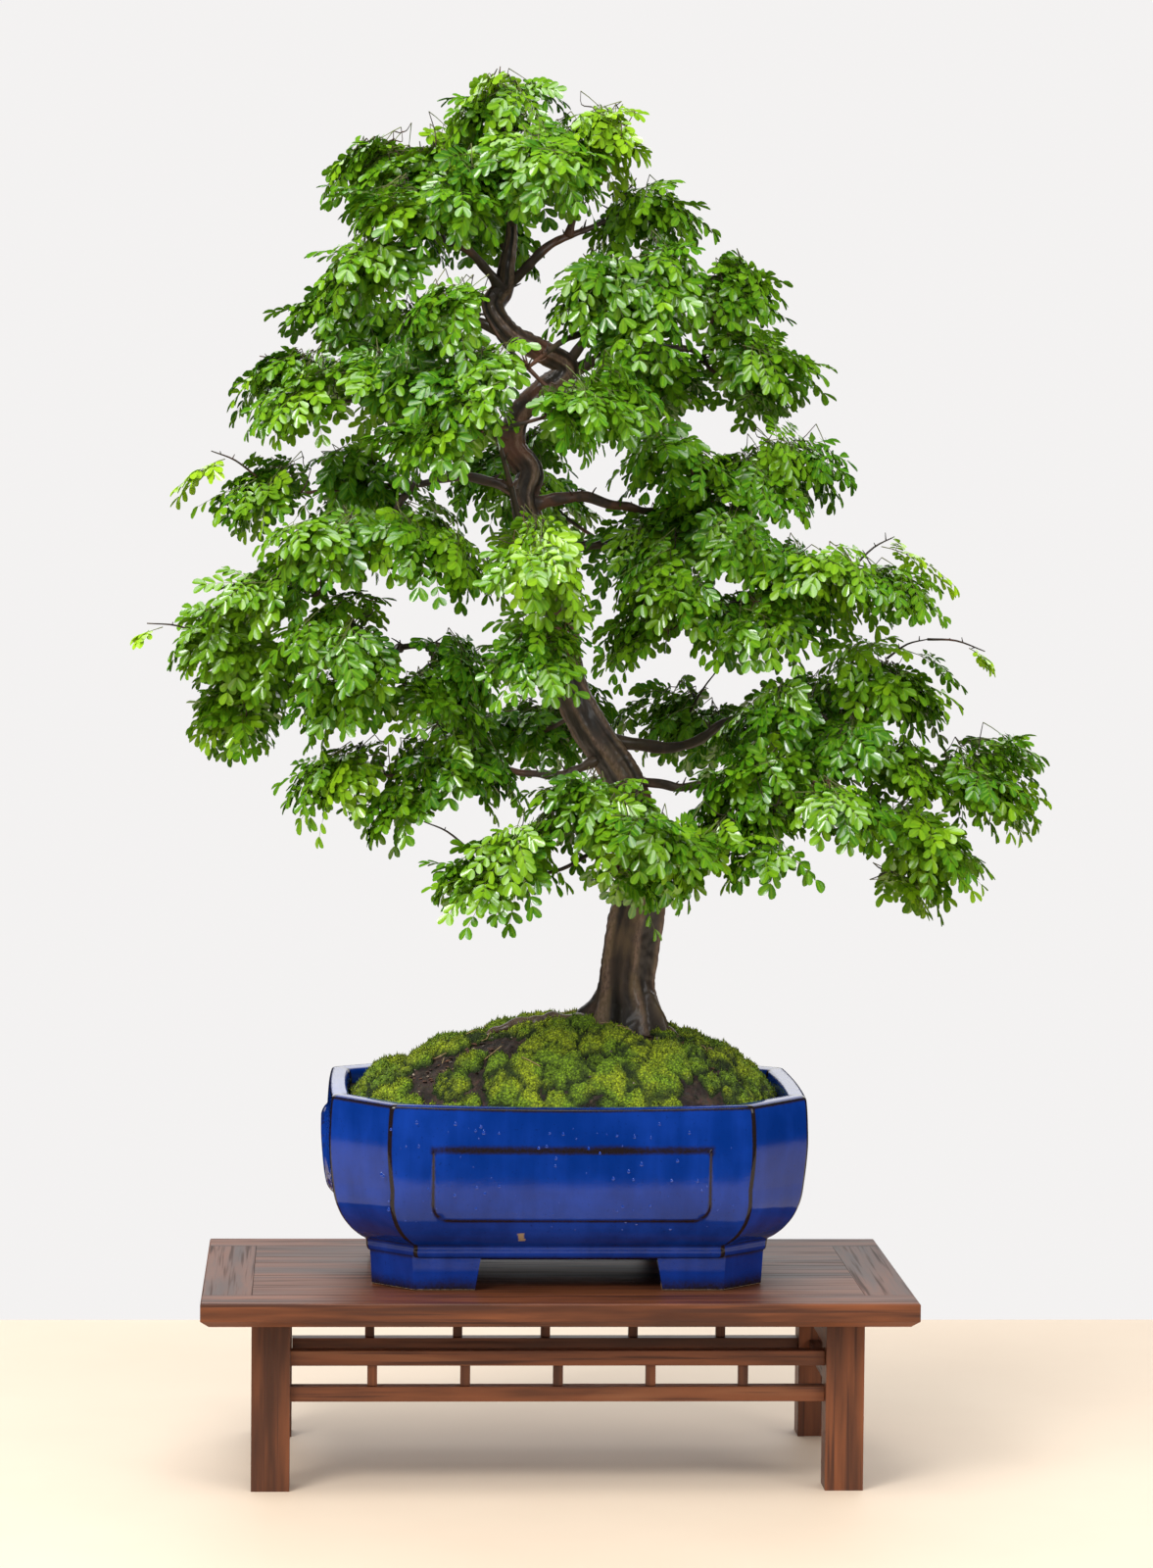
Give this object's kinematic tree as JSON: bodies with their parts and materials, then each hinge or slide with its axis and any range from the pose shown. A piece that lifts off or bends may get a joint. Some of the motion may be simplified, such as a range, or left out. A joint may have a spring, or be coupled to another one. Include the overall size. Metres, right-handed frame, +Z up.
{
  "type": "brazilian rain tree bonsai",
  "caption": "Bonsai rain tree with feathery leaf pads, in a blue glazed rectangular pot with cut corners, on a low walnut stand with railed legs.",
  "frame": {"origin": "middle of the bounding box's underside, on the surface that the stand's legs rest on", "axes": "+Z up, -Y is the front of the stand, +X to the right seen from the front"},
  "size_m": [0.8282, 0.5056, 1.2251],
  "materials": {
    "walnut": "satin oiled walnut with straight grain",
    "blue_glaze": "deep cobalt blue gloss glaze, dark along the edges",
    "soil": "dark damp potting soil with bark bits",
    "moss": "bright green moss cushions",
    "bark": "grey-brown bark, reddish in places",
    "leaf": "glossy mid green leaflets",
    "fresh_leaf": "glossy yellow-green new leaflets"
  },
  "bodies": {
    "root": {"top_front_strip": "walnut", "top_back_strip": "walnut", "top_left_end": "walnut", "top_right_end": "walnut", "top_board_1": "walnut", "top_board_2": "walnut", "top_board_3": "walnut", "leg_front_left": "walnut", "leg_front_right": "walnut", "rail_front_low": "walnut", "rail_front_high": "walnut", "spindle_front_1": "walnut", "spindle_front_2": "walnut", "spindle_front_3": "walnut", "spindle_front_4": "walnut", "spindle_front_5": "walnut", "leg_back_left": "walnut", "leg_back_right": "walnut", "rail_back_low": "walnut", "rail_back_high": "walnut", "spindle_back_1": "walnut", "spindle_back_2": "walnut", "spindle_back_3": "walnut", "spindle_back_4": "walnut", "spindle_back_5": "walnut", "rail_left_low": "walnut", "rail_left_high": "walnut", "rail_right_low": "walnut", "rail_right_high": "walnut", "pot": "blue_glaze", "soil": "soil", "moss": "moss", "trunk_and_branches": "bark", "spray_apex": "leaf", "spray_apex_right": "fresh_leaf", "spray_crown_front": "leaf", "spray_crown_left": "fresh_leaf", "spray_crown_left_front": "leaf", "spray_crown_right": "leaf", "spray_crown_back": "leaf", "spray_upper_right_front": "leaf", "spray_upper_right": "leaf", "spray_upper_front": "leaf", "spray_upper_left": "leaf", "spray_mid_left_high": "leaf", "spray_mid_front_high": "leaf", "spray_mid_right": "leaf", "spray_mid_left_back": "leaf", "spray_mid_left_front": "leaf", "spray_mid_back": "leaf", "spray_left_outer": "leaf", "spray_left_inner": "leaf", "spray_mid_front": "leaf", "spray_right_high": "leaf", "spray_right_back": "leaf", "spray_right_outer": "leaf", "spray_right_front": "leaf", "spray_low_left": "leaf", "spray_low_front": "leaf", "spray_low_back": "leaf"}
  },
  "joints": []
}
